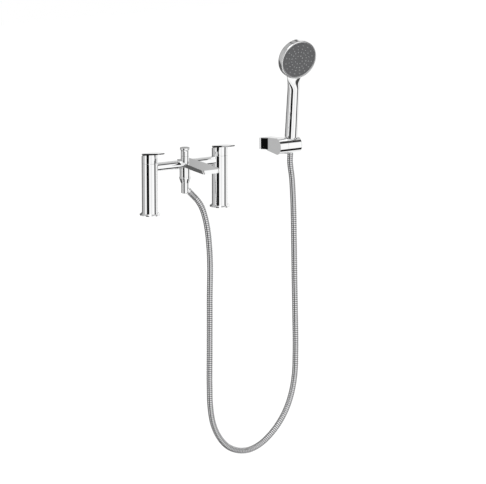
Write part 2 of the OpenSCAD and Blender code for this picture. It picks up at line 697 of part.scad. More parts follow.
// Ribbed hose: one closed tube, ribbed outside and smooth in its bore
module ribbed_tube(s0, s1, ribs) {
    pitch = (s1 - s0) / ribs;
    bands = ceil((s1 - s0) / bore_step);
    crest = hose_d / 2;
    outer = concat([hose_ring(s0, crest - rib_depth)],
        [for (i = [0:ribs - 1], half = [0, 1])
            hose_ring(s0 + (i + 0.25 + half / 2) * pitch, crest - half * rib_depth)],
        [hose_ring(s1, crest - rib_depth)]);
    bore = [for (i = [0:bands]) hose_ring(s1 - i * (s1 - s0) / bands, hose_bore_d / 2)];
    rings = concat(outer, bore);
    count = len(rings);
    polyhedron([for (r = rings) each r], [for (i = [0:count - 1], k = [0:hose_sides - 1], half = [0, 1])
        let (a = i * hose_sides, b = ((i + 1) % count) * hose_sides, n = (k + 1) % hose_sides)
            half == 0 ? [a + k, b + k, b + n] : [a + k, b + n, a + n]]);
}

module hose() color(STEEL) ribbed_tube(0, hose_split - face_gap, hose_ribs);
module hose_upper() color(STEEL) ribbed_tube(hose_split, hose_length, upper_ribs);

// Hose end in the holder
module hose_nut() color(CHROME) on_seat() difference() {
    at_height(cone_s0) cylinder(d1 = cone_small_d, d2 = cone_large_d, h = cone_s1 - cone_s0);
    at_height(cone_s0 - cut) cylinder(d = hose_bore_d, h = cone_s1 - cone_s0 + 2 * cut);
    at_height(nut_step_s) cylinder(d = connector_d + 2 * fit, h = cone_s1 - nut_step_s + cut);
}

module hose_washer() color(RUBBER) on_seat() at_height(washer_s0) ring(connector_d, hose_bore_d, washer_t);

// Handset
module handset_connector() color(BRASS) on_seat() difference() {
    union() {
        at_height(connector_s0) cylinder(d = connector_d, h = handle_s0 - face_gap - connector_s0);
        at_height(handle_s0 - cut) cylinder(d = handle_bore_d - 2 * fit, h = connector_spigot_l + cut);
    }
    at_height(connector_s0 - cut) cylinder(d = limiter_d + 2 * fit, h = handle_l);
}

module flow_limiter() color(GREY_PLASTIC) on_seat() at_height(limiter_s0)
    ring(limiter_d, limiter_d / 3, limiter_h);

module handset_shell() color(CHROME) difference() {
    union() {
        on_seat() at_height(handle_s0) cylinder(d1 = handle_low_d, d2 = handle_top_d, h = handle_l);
        hull() {
            on_seat() at_height(handle_s0 + handle_l - neck_l)
                cylinder(d = handle_top_d + neck_step, h = neck_l, $fn = 48);
            on_face(rim_depth + dome_h / 2) translate([0, -neck_drop, 0])
                cylinder(d = neck_disc_d, h = dome_h / 2, $fn = 48);
        }
        on_face(0) rotate_extrude() polygon(concat(
            [for (i = [flare_steps:-1:0]) let (t = 90 * i / flare_steps)
                [head_d / 2 * cos(t), -rim_depth - dome_h * sin(t)]],
            round_edge(head_d / 2, 0, rim_edge), [[0, 0]]));
    }
    on_seat() at_height(handle_s0 - cut) cylinder(d = handle_bore_d, h = handle_bore_s1 - handle_s0 + cut);
    on_face(chamber_depth) cylinder(d = face_bore_d, h = chamber_depth + cut);
}

module handset_bezel() color(CHROME) on_face(plate_back) rotate_extrude() polygon([
    [plate_d / 2 + fit, 0], [face_bore_d / 2 - fit, 0], [face_bore_d / 2 - fit, plate_back],
    [face_bore_d / 2 - 0.8, plate_back], [plate_d / 2 + fit, spray_plate_t]]);

module at_nozzles() for (ring_spec = nozzle_rings, i = [0:ring_spec[1] - 1])
    rotate([0, 0, 360 * (i + 0.5) / ring_spec[1]])
        translate([ring_spec[0] * nozzle_scale, 0, 0]) children();

module spray_plate() color(GREY_PLASTIC) on_face(plate_back) difference() {
    cylinder(d = plate_d, h = spray_plate_t);
    at_nozzles() at_height(-cut) cylinder(d = nozzle_d + 2 * fit, h = spray_plate_t + 2 * cut);
}

module nozzle_mat() color(LIGHT_RUBBER) on_face(mat_front + mat_t) union() {
    cylinder(d = face_bore_d - 2 * fit, h = mat_t);
    at_nozzles() cylinder(d = nozzle_d, h = mat_front + mat_t - plate_front + nozzle_out);
}

module water_distributor() color(WHITE_PLASTIC) on_face(distributor_back) difference() {
    wall = 1.5;
    cylinder(d = face_bore_d - 2 * fit, h = distributor_back - distributor_front);
    at_height(wall) cylinder(d = face_bore_d - 4 * wall, h = chamber_depth);
    translate([0, -inlet_drop, -cut]) cylinder(d = inlet_d, h = chamber_depth);
}

// Wall bracket
module wall_plate() color(STEEL) translate([plate_x, wall_y, bracket_z]) difference() {
    translate([-plate_w / 2, -plate_t, -plate_w / 2]) cube([plate_w, plate_t, plate_w]);
    for (z = [-1, 1]) along_y(-plate_t - cut, z * screw_spacing / 2)
        cylinder(d = screw_hole_d, h = plate_t + 2 * cut);
}

module bracket_body() color(CHROME) difference() {
    union() {
        on_swivel(knuckle_x0) cylinder(d = holder_d, h = knuckle_w);
        translate([knuckle_x0, swivel_y, bracket_z]) rotate([90, 0, 90]) linear_extrude(knuckle_w)
            polygon([[0, holder_d / 2], [bracket_reach - 2, arm_end_h], [bracket_reach - 2, -arm_end_h],
                [bracket_reach - block_depth, -arm_end_h - 3], [0, -holder_d / 2]]);
        translate([0, wall_y, bracket_z - block_w / 2]) linear_extrude(block_w)
            polygon([[block_x0, 0], [block_x0, -block_side], [knuckle_x0, -block_front],
                [knuckle_x1, -block_front], [knuckle_x1, -block_side], [block_back_x1, 0]]);
    }
    on_swivel(pivot_floor_x) cylinder(d = pivot_d + 2 * fit, h = pivot_l + cut);
    on_swivel(pivot_floor_x - bolt_thread_l) cylinder(d = bolt_d + 2 * fit, h = pivot_l);
    translate([plate_x - plate_w / 2 - fit, wall_y - plate_pocket, bracket_z - plate_w / 2 - fit])
        cube([plate_w + 2 * fit, plate_pocket + cut, plate_w + 2 * fit]);
    translate([plate_x, wall_y - plate_t / 2, bracket_z - block_w])
        cylinder(d = grub_d + 2 * fit, h = block_w);
}

module bracket_grub_screw() color(STEEL)
    translate([plate_x, wall_y - plate_t / 2, bracket_z - block_w / 2 + face_gap])
        difference() {
            cylinder(d = grub_d, h = block_wall);
            at_height(-cut) cylinder(d = grub_d / 2, h = block_wall / 2 + cut, $fn = 6);
        }

module holder() color(CHROME) difference() {
    union() {
        on_swivel(holder_x0) rotate_extrude() polygon(concat([[0, 0], [holder_d / 2, 0]],
            round_edge(holder_d / 2, holder_w, 2), [[0, holder_w]]));
        on_swivel(pivot_floor_x + friction_washer_t + 2 * face_gap)
            cylinder(d = pivot_d, h = pivot_l);
    }
    on_seat() at_height(-seat_half) cylinder(
        d1 = cone_small_d + 2 * clear + cone_taper * (-seat_half - cone_s0),
        d2 = cone_small_d + 2 * clear + cone_taper * (seat_half - cone_s0), h = 2 * seat_half);
    on_swivel(pivot_floor_x - cut) cylinder(d = bolt_d + 2 * fit, h = seat_inset + pivot_l);
    on_swivel(bolt_seat_x - face_gap) cylinder(d = bolt_head_d + 2 * clear, h = seat_x - bolt_seat_x);
}

module pivot_bolt() color(STEEL) difference() {
    union() {
        on_swivel(pivot_floor_x - bolt_thread_l + clear)
            cylinder(d = bolt_d, h = bolt_seat_x - pivot_floor_x + bolt_thread_l - clear + cut);
        on_swivel(bolt_seat_x) cylinder(d = bolt_head_d, h = bolt_head_h);
    }
    on_swivel(bolt_seat_x + bolt_head_h / 2) cylinder(d = bolt_head_d / 2, h = bolt_head_h, $fn = 6);
}

module friction_washer() color(STEEL) on_swivel(pivot_floor_x + face_gap)
    ring(pivot_d - 1, bolt_d + 2 * clear, friction_washer_t);

pillar(HOT);  // hot_pillar
base_flange(HOT);  // hot_base_flange
base_gasket(HOT);  // hot_base_gasket
cartridge_body(HOT);  // hot_cartridge_body
spindle(HOT);  // hot_spindle
fixed_disc(HOT);  // hot_fixed_disc
moving_disc(HOT);  // hot_moving_disc
seat_seal(HOT);  // hot_seat_seal
lever_handle(HOT);  // hot_handle
grub_screw(HOT);  // hot_grub_screw
index_plug(HOT, RED);  // hot_index_plug
pillar(COLD);  // cold_pillar
base_flange(COLD);  // cold_base_flange
base_gasket(COLD);  // cold_base_gasket
cartridge_body(COLD);  // cold_cartridge_body
spindle(COLD);  // cold_spindle
fixed_disc(COLD);  // cold_fixed_disc
moving_disc(COLD);  // cold_moving_disc
seat_seal(COLD);  // cold_seat_seal
lever_handle(COLD);  // cold_handle
grub_screw(COLD);  // cold_grub_screw
index_plug(COLD, BLUE);  // cold_index_plug
bridge();
spout();
flow_straightener();
diverter_bonnet();
diverter_knob();
diverter_rod();
diverter_plug();
diverter_seal();
elbow_nut();
elbow();
elbow_washer();
hose_collar();
hose_ferrule();
hose_inlet_washer();
hose();
hose_upper();
hose_nut();
hose_washer();
handset_shell();
handset_bezel();
spray_plate();
nozzle_mat();
water_distributor();
handset_connector();
flow_limiter();
wall_plate();
bracket_body();
bracket_grub_screw();
holder();
pivot_bolt();
friction_washer();
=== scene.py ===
import math

import bmesh
import bpy
from bpy.props import FloatProperty, FloatVectorProperty, IntProperty, PointerProperty
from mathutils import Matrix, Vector


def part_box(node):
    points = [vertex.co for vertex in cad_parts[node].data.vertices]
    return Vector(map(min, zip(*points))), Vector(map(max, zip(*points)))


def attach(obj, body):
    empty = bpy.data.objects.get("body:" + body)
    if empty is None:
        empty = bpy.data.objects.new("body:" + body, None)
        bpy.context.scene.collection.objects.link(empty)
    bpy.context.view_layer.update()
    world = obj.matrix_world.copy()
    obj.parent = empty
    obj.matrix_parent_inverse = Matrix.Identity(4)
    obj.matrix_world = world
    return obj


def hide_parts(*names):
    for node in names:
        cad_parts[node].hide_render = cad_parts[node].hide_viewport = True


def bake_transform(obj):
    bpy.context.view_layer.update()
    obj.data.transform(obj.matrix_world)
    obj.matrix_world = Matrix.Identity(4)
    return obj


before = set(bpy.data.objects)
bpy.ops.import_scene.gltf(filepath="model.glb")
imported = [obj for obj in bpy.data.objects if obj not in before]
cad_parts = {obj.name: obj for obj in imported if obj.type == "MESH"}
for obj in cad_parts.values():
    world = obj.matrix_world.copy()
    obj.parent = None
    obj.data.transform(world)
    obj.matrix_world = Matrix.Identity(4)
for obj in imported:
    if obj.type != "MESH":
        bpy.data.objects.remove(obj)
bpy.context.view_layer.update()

bl_info = {
    "name": "Bath shower mixer",
    "version": (1, 0, 0),
    "blender": (4, 5, 0),
    "location": "3D View > Sidebar > Bath mixer",
    "description": "Dresses the bath shower mixer: ribbed hose, handset, softened edges, finishes and studio",
    "category": "Object",
}

RIGHT = Vector((1.0, 0.0, 0.0))

# Elbow's branch and holder's seat, in metres: where the hose's two ends lie, and which way they point
BRANCH_FOOT = Vector((0.0, 0.0, 0.0525))
BRANCH_DOWN = math.radians(47)
BRANCH_HEADING = math.radians(20)
BRANCH_DIR = Vector((math.cos(BRANCH_DOWN) * math.cos(BRANCH_HEADING),
                     -math.cos(BRANCH_DOWN) * math.sin(BRANCH_HEADING), -math.sin(BRANCH_DOWN)))
HOSE_AT = 0.02065
SEAT = Vector((0.288, 0.018, 0.117))
SEAT_TILT = math.radians(5)
SEAT_DIR = Vector((0.0, -math.sin(SEAT_TILT), math.cos(SEAT_TILT)))
SEAT_FRONT = Vector((0.0, -math.cos(SEAT_TILT), -math.sin(SEAT_TILT)))
CONE_FOOT = 0.01705

# Hose, in metres: a straight lead at both ends, and a route between them through the listed points
HOSE_LEAD = 0.014
LEAD_STEPS = 8
ROUTE_STEPS = 24
HOSE_UPPER_LENGTH = 0.130
NO_SLEEVE = -1.0
HOSE_POINTS = [
    (0.0295, -0.011, 0.017), (0.0355, -0.013, 0.0055), (0.043, -0.0155, -0.019), (0.048, -0.0175, -0.0475),
    (0.052, -0.0185, -0.090), (0.0525, -0.0185, -0.2215), (0.053, -0.017, -0.327), (0.0535, -0.0155, -0.4095),
    (0.056, -0.0145, -0.462), (0.064, -0.0135, -0.5035), (0.080, -0.012, -0.537), (0.104, -0.010, -0.5635),
    (0.133, -0.0075, -0.578), (0.1635, -0.005, -0.582), (0.1945, -0.0025, -0.574), (0.223, 0.0, -0.5565),
    (0.2485, 0.002, -0.532), (0.269, 0.004, -0.503), (0.2845, 0.006, -0.4675), (0.294, 0.008, -0.427),
    (0.2975, 0.0095, -0.3705), (0.2975, 0.0115, -0.2825), (0.2965, 0.0135, -0.188), (0.296, 0.0155, -0.101),
    (0.2955, 0.018, -0.024), (0.293, 0.020, 0.037),
]

# Ribs: how steeply they fall into the groove, and the smooth sleeve's sink (in rib depths) and painted shade
RIB_STEEPNESS = 3.0
RIB_SHIFT = 0.0005
SLEEVE_SINK = 0.35
SLEEVE_PAINTED_SHADE = 0.5
# Dark colour painted into the hose's grooves as painted shade
GROOVE_PAINTED_SHADE = (0.03, 0.03, 0.032)

# Lever, in metres: its top at the pillar's axis, its thickness, its underside's slope and a groove below it.
# A rim point in a fold or on a level face stays, and the spout's sides lie past a share of its half width
LEVER_TOP = 0.140
LEVER_THICKNESS = 0.0045
LEVER_UNDERSIDE_RISE = math.radians(10.5)
LEVER_GROOVE = 0.0006
FOLD_ANGLE = 0.5
LEAST_SLOPE = 0.1
SPOUT_SIDE_SHARE = 0.6

# Meshes: the distances at which points are one and lie on a cut, the steps of a rounded edge, and the angles
# that count as flat, as an edge to round and as sharp
WELD_DISTANCE = 2e-6
CUT_DISTANCE = 1e-6
ROUNDING_STEPS = 3
FLAT_ANGLE = math.radians(0.4)
EDGE_ANGLE = math.radians(24)
SOFT_SHARP_ANGLE = math.radians(32)
SKIN_SHARP_ANGLE = math.radians(40)

# Handset, in metres: heights along the handle's axis above its seat, and the spray face
HANDLE_FOOT = 0.0195
HANDLE_TOP = 0.1445
HANDLE_FOOT_R = 0.015
HANDLE_TOP_R = 0.01375
FOOT_ROUNDING = 0.0008
HANDLE_STEPS = 12
NECK_START = 0.128
NECK_END = 0.170
NECK_STEPS = 28
HOLLOW_START = 0.132
HOLLOW_END = 0.160
FACE_CENTRE = Vector((0.288, -0.017, 0.3182))
FACE_TILT = math.radians(13)
FACE_OUT = Vector((0.0, -math.cos(FACE_TILT), -math.sin(FACE_TILT)))
FACE_LIP = 0.0001
HEAD_R = 0.046
RIM_DEPTH = 0.013
DOME_HEIGHT = 0.015
DOME_STEPS = 28
RIM_STEPS = 8
FACE_BORE_R = 0.043
CHAMBER_DEPTH = 0.010
PLATE_DEPTH = 0.0013

# Nozzles: rings of radius and count, the root's depth, and the outline in shares of half width and height
NOZZLE_RINGS = ((0.0097, 8), (0.019, 16), (0.026, 16), (0.0342, 16))
NOZZLE_ROOT = 0.0008
NOZZLE_SIDES = 10
NOZZLE_OUTLINE = ((1.0, 0.25), (0.8, 0.8), (0.55, 1.0), (0.32, 0.9), (0.25, 0.4), (0.0, 0.4))

# Finishes: detail of the two noises, the part of the noise that blotches use, the grain's depth in metres,
# and the nodes with a satin finish
BLOTCH_DETAIL = 4.0
BLOTCH_ROUGHNESS = 0.55
BLOTCH_RANGE = (0.3, 0.7)
GRAIN_DETAIL = 2.0
GRAIN_DEPTH = 0.0002
SATIN_NODES = ("hose_ferrule", "handset_bezel")

# Studio that the chrome mirrors, in degrees: greys by turn, greys by height, and patches between two of each
SCREENS = (
    (-180, 0.11), (-153, 0.11), (-150.5, 0.47), (-106, 0.47), (-102, 1.0), (-94, 1.0), (-91, 0.84),
    (-87, 0.84), (-84, 1.0), (-77, 1.0), (-74, 0.004), (-40, 0.004), (-37, 1.0), (-22, 1.0), (-16, 0.86),
    (0, 0.86), (8, 1.0), (37, 1.0), (41, 0.06), (62, 0.06), (67, 1.0), (80, 1.0), (86, 0.74), (97, 0.74),
    (104, 1.0), (146, 1.0), (152, 0.16), (180, 0.11),
)
LEVELS = ((-90, 0.3), (-67, 0.3), (-61, 1.0), (36, 1.0), (43, 0.32), (48, 0.6), (90, 0.6))
PATCHES = (
    (0.45, (-84, -36), (22, 87)), (0.42, (-177, -110), (28, 87)), (0.42, (156, 177), (28, 87)),
    (0.85, (146, 160), (-7, 3)), (0.0, (24, 66), (-56, -35)), (0.01, (-149, -118), (-47, -20)),
    (0.7, (-177, -155), (-52, -33)),
)
TURN_BORDER = 3
HEIGHT_BORDER = 2

# Camera, floor and lamp
SENSOR_WIDTH = 36.0
CAMERA_REACH = 50.0
FLOOR_REACH = 6.0
FLOOR_GREY = 0.42
FLOOR_GLOW = 0.62
FLOOR_BOUNCE = 0.8
LAMP_PLACE = Vector((-1.2, -1.6, 2.6))
LAMP_TARGET = Vector((0.15, 0.0, -0.1))
LAMP_SIZE = 2.0
LAMP_POWER = 16.0


class MixerHose(bpy.types.PropertyGroup):
    """Sizes of the ribbed hose"""
    diameter: FloatProperty(name="Hose diameter", description="Outside diameter over the ribs",
                            default=0.014, min=0.008, max=0.02, unit="LENGTH", precision=4)
    rib_pitch: FloatProperty(name="Rib pitch", description="Distance from one rib to the next",
                             default=0.0046, min=0.003, max=0.01, unit="LENGTH", precision=4)
    rib_depth: FloatProperty(name="Rib depth", description="Depth of the groove between two ribs",
                             default=0.0006, min=0.0002, max=0.002, unit="LENGTH", precision=4)
    sleeve: FloatProperty(name="Smooth sleeve", description="Length of the smooth sleeve at the mixer's end",
                          default=0.013, min=0.0, max=0.05, unit="LENGTH", precision=4)
    sides: IntProperty(name="Sides", description="Facets round the hose", default=20, min=8, max=32)
    rings: IntProperty(name="Rings in a rib", description="Rings of points that draw one rib",
                       default=8, min=4, max=12)


class MixerHandset(bpy.types.PropertyGroup):
    """Sizes of the handset's shell and nozzles"""
    rim_round: FloatProperty(name="Rim rounding", description="Radius of the head's front edge",
                             default=0.0024, min=0.0005, max=0.003, unit="LENGTH", precision=4)
    neck_width: FloatProperty(name="Neck width", description="Width that the neck gains towards the head",
                              default=0.0164, min=0.0, max=0.024, unit="LENGTH", precision=4)
    neck_front: FloatProperty(name="Neck front", description="Depth of the hollow in front, under the head",
                              default=0.0118, min=0.0, max=0.0125, unit="LENGTH", precision=4)
    neck_back: FloatProperty(name="Neck back", description="Fall of the neck's back towards the head",
                             default=0.0063, min=0.0, max=0.010, unit="LENGTH", precision=4)
    nozzle_width: FloatProperty(name="Nozzle width", description="Width of a soft nozzle on the spray plate",
                                default=0.003, min=0.0024, max=0.004, unit="LENGTH", precision=4)
    nozzle_height: FloatProperty(name="Nozzle height", description="Height of a nozzle above the spray plate",
                                 default=0.0012, min=0.0004, max=0.003, unit="LENGTH", precision=4)
    sides: IntProperty(name="Sides", description="Facets round the head and the handle",
                       default=96, min=24, max=192)


class MixerEdges(bpy.types.PropertyGroup):
    """Sizes of the softened edges of levers and spout"""
    lever: FloatProperty(name="Lever edges", description="Rounding of the lever blades' edges",
                         default=0.0008, min=0.0001, max=0.002, unit="LENGTH", precision=4)
    spout: FloatProperty(name="Spout edges", description="Rounding of the spout's edges",
                         default=0.0010, min=0.0001, max=0.002, unit="LENGTH", precision=4)
    lever_undercut: FloatProperty(name="Lever undercut", description="How far the lever's rim draws in below",
                                  default=0.0017, min=0.0002, max=0.003, unit="LENGTH", precision=4)
    spout_undercut: FloatProperty(name="Spout undercut", description="Inward lean of the spout's sides",
                                  default=math.radians(15), min=0.0, max=math.radians(25), subtype="ANGLE")


class MixerColours(bpy.types.PropertyGroup):
    """Colours of the finishes"""
    chrome: FloatVectorProperty(name="Chrome", description="Tint of the polished chrome", subtype="COLOR",
                                size=3, min=0.0, max=1.0, default=(0.975, 0.978, 0.98))
    spray_plate: FloatVectorProperty(name="Spray plate", description="Colour of the spray plate",
                                     subtype="COLOR", size=3, min=0.0, max=1.0, default=(0.115, 0.116, 0.120))
    nozzle: FloatVectorProperty(name="Nozzles", description="Colour of the soft nozzles", subtype="COLOR",
                                size=3, min=0.0, max=1.0, default=(0.34, 0.345, 0.35))
    hot: FloatVectorProperty(name="Hot plug", description="Colour of the hot side's plug", subtype="COLOR",
                             size=3, min=0.0, max=1.0, default=(0.52, 0.012, 0.012))
    cold: FloatVectorProperty(name="Cold plug", description="Colour of the cold side's plug", subtype="COLOR",
                              size=3, min=0.0, max=1.0, default=(0.012, 0.045, 0.42))


class MixerStage(bpy.types.PropertyGroup):
    """Places of the camera and the floor"""
    azimuth: FloatProperty(name="Camera azimuth", description="Turn of the camera round the mixer",
                           default=math.radians(-30.6), subtype="ANGLE")
    elevation: FloatProperty(name="Camera elevation", description="Height of the camera above the horizon",
                             default=math.radians(12.9), subtype="ANGLE")
    distance: FloatProperty(name="Camera distance", description="Distance from the camera to its target",
                            default=7.5, min=1.0, max=20.0, unit="LENGTH")
    frame_width: FloatProperty(name="Frame width", description="Width of the picture at the target",
                               default=1.1032, min=0.2, max=4.0, unit="LENGTH")
    target: FloatVectorProperty(name="Camera target", description="Point at the middle of the picture",
                                size=3, unit="LENGTH", default=(0.1506, 0.0, -0.0905))
    floor_z: FloatProperty(name="Floor height", description="Height of the floor under the hose",
                           default=-0.62, max=-0.6, unit="LENGTH")


def add_node(tree, kind, inputs=(), **settings):
    """Adds a node, sets its properties, and sets or links its inputs by name or number."""
    made = tree.nodes.new(kind)
    for name, value in settings.items():
        setattr(made, name, value)
    for name, value in dict(inputs).items():
        socket = made.inputs[name]
        if isinstance(value, bpy.types.NodeSocket):
            tree.links.new(value, socket)
        else:
            socket.default_value = value
    return made


def maths(tree, operation, *values):
    """The result of one operation on numbers or sockets."""
    return add_node(tree, "ShaderNodeMath", enumerate(values), operation=operation).outputs["Value"]


def mix_colours(tree, factor, first, second, kind="MIX"):
    """Two colours mixed by a factor."""
    return add_node(tree, "ShaderNodeMix", {0: factor, 6: first, 7: second}, data_type="RGBA",
                    blend_type=kind).outputs[2]


def ramp(tree, factor, stops):
    """A colour ramp over pairs of a position and a shade, which is a grey or a colour."""
    made = add_node(tree, "ShaderNodeValToRGB", {"Fac": factor})
    made.color_ramp.interpolation = "LINEAR"
    elements = made.color_ramp.elements
    while len(elements) > 1:
        elements.remove(elements[-1])
    for i, (place, shade) in enumerate(stops):
        element = elements[0] if i == 0 else elements.new(place)
        element.position = place
        element.color = (*shade, 1.0) if isinstance(shade, tuple) else (shade, shade, shade, 1.0)
    return made.outputs["Color"]


def surface(name, metallic, tint, spread, roughness, blotch, grain, bump, groove=None, specular=0.5):
    """A procedural finish: tint and gloss wander over blotches, and a fine grain stands on the surface."""
    if name in bpy.data.materials:
        return bpy.data.materials[name]
    material = bpy.data.materials.new(name)
    material.use_nodes = True
    tree = material.node_tree
    tree.nodes.clear()
    place = add_node(tree, "ShaderNodeTexCoord").outputs["Object"]
    wander = add_node(tree, "ShaderNodeTexNoise", {
        "Vector": place, "Scale": blotch, "Detail": BLOTCH_DETAIL,
        "Roughness": BLOTCH_ROUGHNESS}).outputs["Fac"]
    fine = add_node(tree, "ShaderNodeTexNoise", {
        "Vector": place, "Scale": grain, "Detail": GRAIN_DETAIL}).outputs["Fac"]
    low, high = BLOTCH_RANGE
    darker = tuple(c * (1 - spread) for c in tint)
    lighter = tuple(min(1.0, c * (1 + spread)) for c in tint)
    colour = ramp(tree, wander, [(low, darker), (high, lighter)])
    # Painted shade: the colour is mixed towards the dark groove colour by the stored groove attribute
    if groove:
        depth = add_node(tree, "ShaderNodeAttribute", attribute_name="groove").outputs["Fac"]
        colour = mix_colours(tree, depth, colour, (*groove, 1.0))
    gloss = add_node(tree, "ShaderNodeMapRange", {
        "Value": wander, "From Min": low, "From Max": high, "To Min": roughness[0], "To Max": roughness[1]})
    relief = add_node(tree, "ShaderNodeBump", {"Height": fine, "Strength": bump, "Distance": GRAIN_DEPTH})
    shader = add_node(tree, "ShaderNodeBsdfPrincipled", {
        "Base Color": colour, "Metallic": metallic, "Roughness": gloss.outputs["Result"],
        "Specular IOR Level": specular, "Normal": relief.outputs["Normal"]})
    add_node(tree, "ShaderNodeOutputMaterial", {"Surface": shader.outputs["BSDF"]})
    return material


def finish(slot):
    """The procedural material of one of the slots that the pieces use, or satin chrome."""
    colours = bpy.context.scene.mixer_colours
    chrome, plate, nozzle = tuple(colours.chrome), tuple(colours.spray_plate), tuple(colours.nozzle)
    hot, cold = tuple(colours.hot), tuple(colours.cold)
    hose, satin, steel = (0.82, 0.82, 0.83), (0.52, 0.52, 0.53), (0.52, 0.53, 0.55)
    brass, ceramic = (0.70, 0.48, 0.19), (0.82, 0.80, 0.76)
    black, white = (0.018, 0.018, 0.020), (0.76, 0.76, 0.75)
    # Each row: name, metallic, tint, spread, roughness, blotch scale, grain scale, bump, colour of the
    # painted groove shade and specular
    looks = {
        "chrome": ("polished_chrome", 1.0, chrome, 0.012, (0.02, 0.05), 40, 2500, 0.004),
        "plated_plastic": ("plated_plastic_chrome", 1.0, chrome, 0.015, (0.03, 0.06), 30, 2000, 0.006),
        # The hose's grooves and smooth sleeve are darkened by painted shade
        "hose_metal": ("hose_strip_chrome", 1.0, hose, 0.04, (0.06, 0.10), 220, 3000, 0.02, GROOVE_PAINTED_SHADE),
        "satin_chrome": ("satin_chrome", 1.0, satin, 0.03, (0.34, 0.42), 60, 2400, 0.02),
        "brass": ("raw_brass", 1.0, brass, 0.06, (0.22, 0.36), 120, 3000, 0.08),
        "steel": ("plain_steel", 1.0, steel, 0.05, (0.2, 0.34), 120, 3000, 0.06),
        "rubber": ("black_rubber", 0.0, black, 0.2, (0.6, 0.8), 150, 2600, 0.2, None, 0.35),
        "pale_rubber": ("nozzle_silicone", 0.0, nozzle, 0.06, (0.42, 0.58), 200, 3000, 0.1, None, 0.4),
        "ceramic": ("lapped_ceramic", 0.0, ceramic, 0.03, (0.08, 0.16), 90, 2600, 0.02),
        "grey_plastic": ("spray_plate_plastic", 0.0, plate, 0.05, (0.34, 0.46), 60, 2400, 0.06, None, 0.45),
        "white_plastic": ("white_moulding", 0.0, white, 0.03, (0.38, 0.5), 80, 2400, 0.06),
        "red_plastic": ("red_plug_plastic", 0.0, hot, 0.06, (0.25, 0.36), 150, 2600, 0.05),
        "blue_plastic": ("blue_plug_plastic", 0.0, cold, 0.06, (0.25, 0.36), 150, 2600, 0.05),
    }
    return surface(*looks[slot])


def add_piece(name, mesh, slot):
    """Links a mesh into the scene as one piece with its slot's finish."""
    mesh.materials.clear()
    mesh.materials.append(finish(slot))
    piece = bpy.data.objects.new(name, mesh)
    bpy.context.scene.collection.objects.link(piece)
    return piece


def skin(name, bodies):
    """A mesh of closed bodies, each a list of rings of points that starts and ends in a single point."""
    bm = bmesh.new()
    for rings in bodies:
        made = [[bm.verts.new(p) for p in ring] for ring in rings]
        for low, high in zip(made, made[1:]):
            for k in range(max(len(low), len(high))):
                corners = [low[k % len(low)], low[(k + 1) % len(low)],
                           high[(k + 1) % len(high)], high[k % len(high)]]
                bm.faces.new(list(dict.fromkeys(corners)))
    bmesh.ops.recalc_face_normals(bm, faces=bm.faces)
    mesh = bpy.data.meshes.new(name)
    bm.to_mesh(mesh)
    bm.free()
    mesh.shade_smooth()
    mesh.set_sharp_from_angle(angle=SKIN_SHARP_ANGLE)
    return mesh


def turned(profile, origin, axis, sides):
    """Rings round an axis, from a profile of radius and height that starts and ends on the axis."""
    across = axis.cross(RIGHT)
    rings = []
    for r, h in profile:
        turns = [2 * math.pi * k / sides for k in range(sides)] if r else [0.0]
        rings.append([origin + axis * h + (RIGHT * math.cos(t) + across * math.sin(t)) * r for t in turns])
    return rings


def arc(centre, radii, start, end, steps):
    """Points of an arc or a quarter ellipse, as radius and height, between two angles in degrees."""
    angles = [math.radians(start + (end - start) * i / steps) for i in range(steps + 1)]
    return [(centre[0] + radii[0] * math.cos(t), centre[1] + radii[1] * math.sin(t)) for t in angles]


def draw_in_lever(bm, undercut):
    """Draws the rim of a lever's blade in towards its underside, and leaves a fine groove above the cap."""
    upright = Vector((0.0, math.sin(LEVER_UNDERSIDE_RISE), math.cos(LEVER_UNDERSIDE_RISE)))
    for drop, inward in ((LEVER_GROOVE, 0.0), (0.0, undercut)):
        cut = bmesh.ops.bisect_plane(bm, geom=[*bm.verts, *bm.edges, *bm.faces], dist=CUT_DISTANCE,
                                     plane_no=upright,
                                     plane_co=Vector((0.0, 0.0, LEVER_TOP - LEVER_THICKNESS - drop)))
        bm.normal_update()
        rim = [v for v in cut["geom_cut"] if isinstance(v, bmesh.types.BMVert)]
        outward = {v: Vector((v.normal.x, v.normal.y, 0.0)) for v in rim}
        for v in rim:
            hollow = any(e.is_manifold and not e.is_convex and e.calc_face_angle() > FOLD_ANGLE
                         for e in v.link_edges)
            if inward and not hollow and outward[v].length > LEAST_SLOPE:
                v.co -= outward[v].normalized() * inward


def draw_in_spout(bm, undercut):
    """Leans the spout's two sides in towards its underside."""
    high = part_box("spout")[1]
    for v in bm.verts:
        if abs(v.co.x) > SPOUT_SIDE_SHARE * high[0]:
            v.co.x -= math.copysign(math.tan(undercut) * (high[2] - v.co.z), v.co.x)


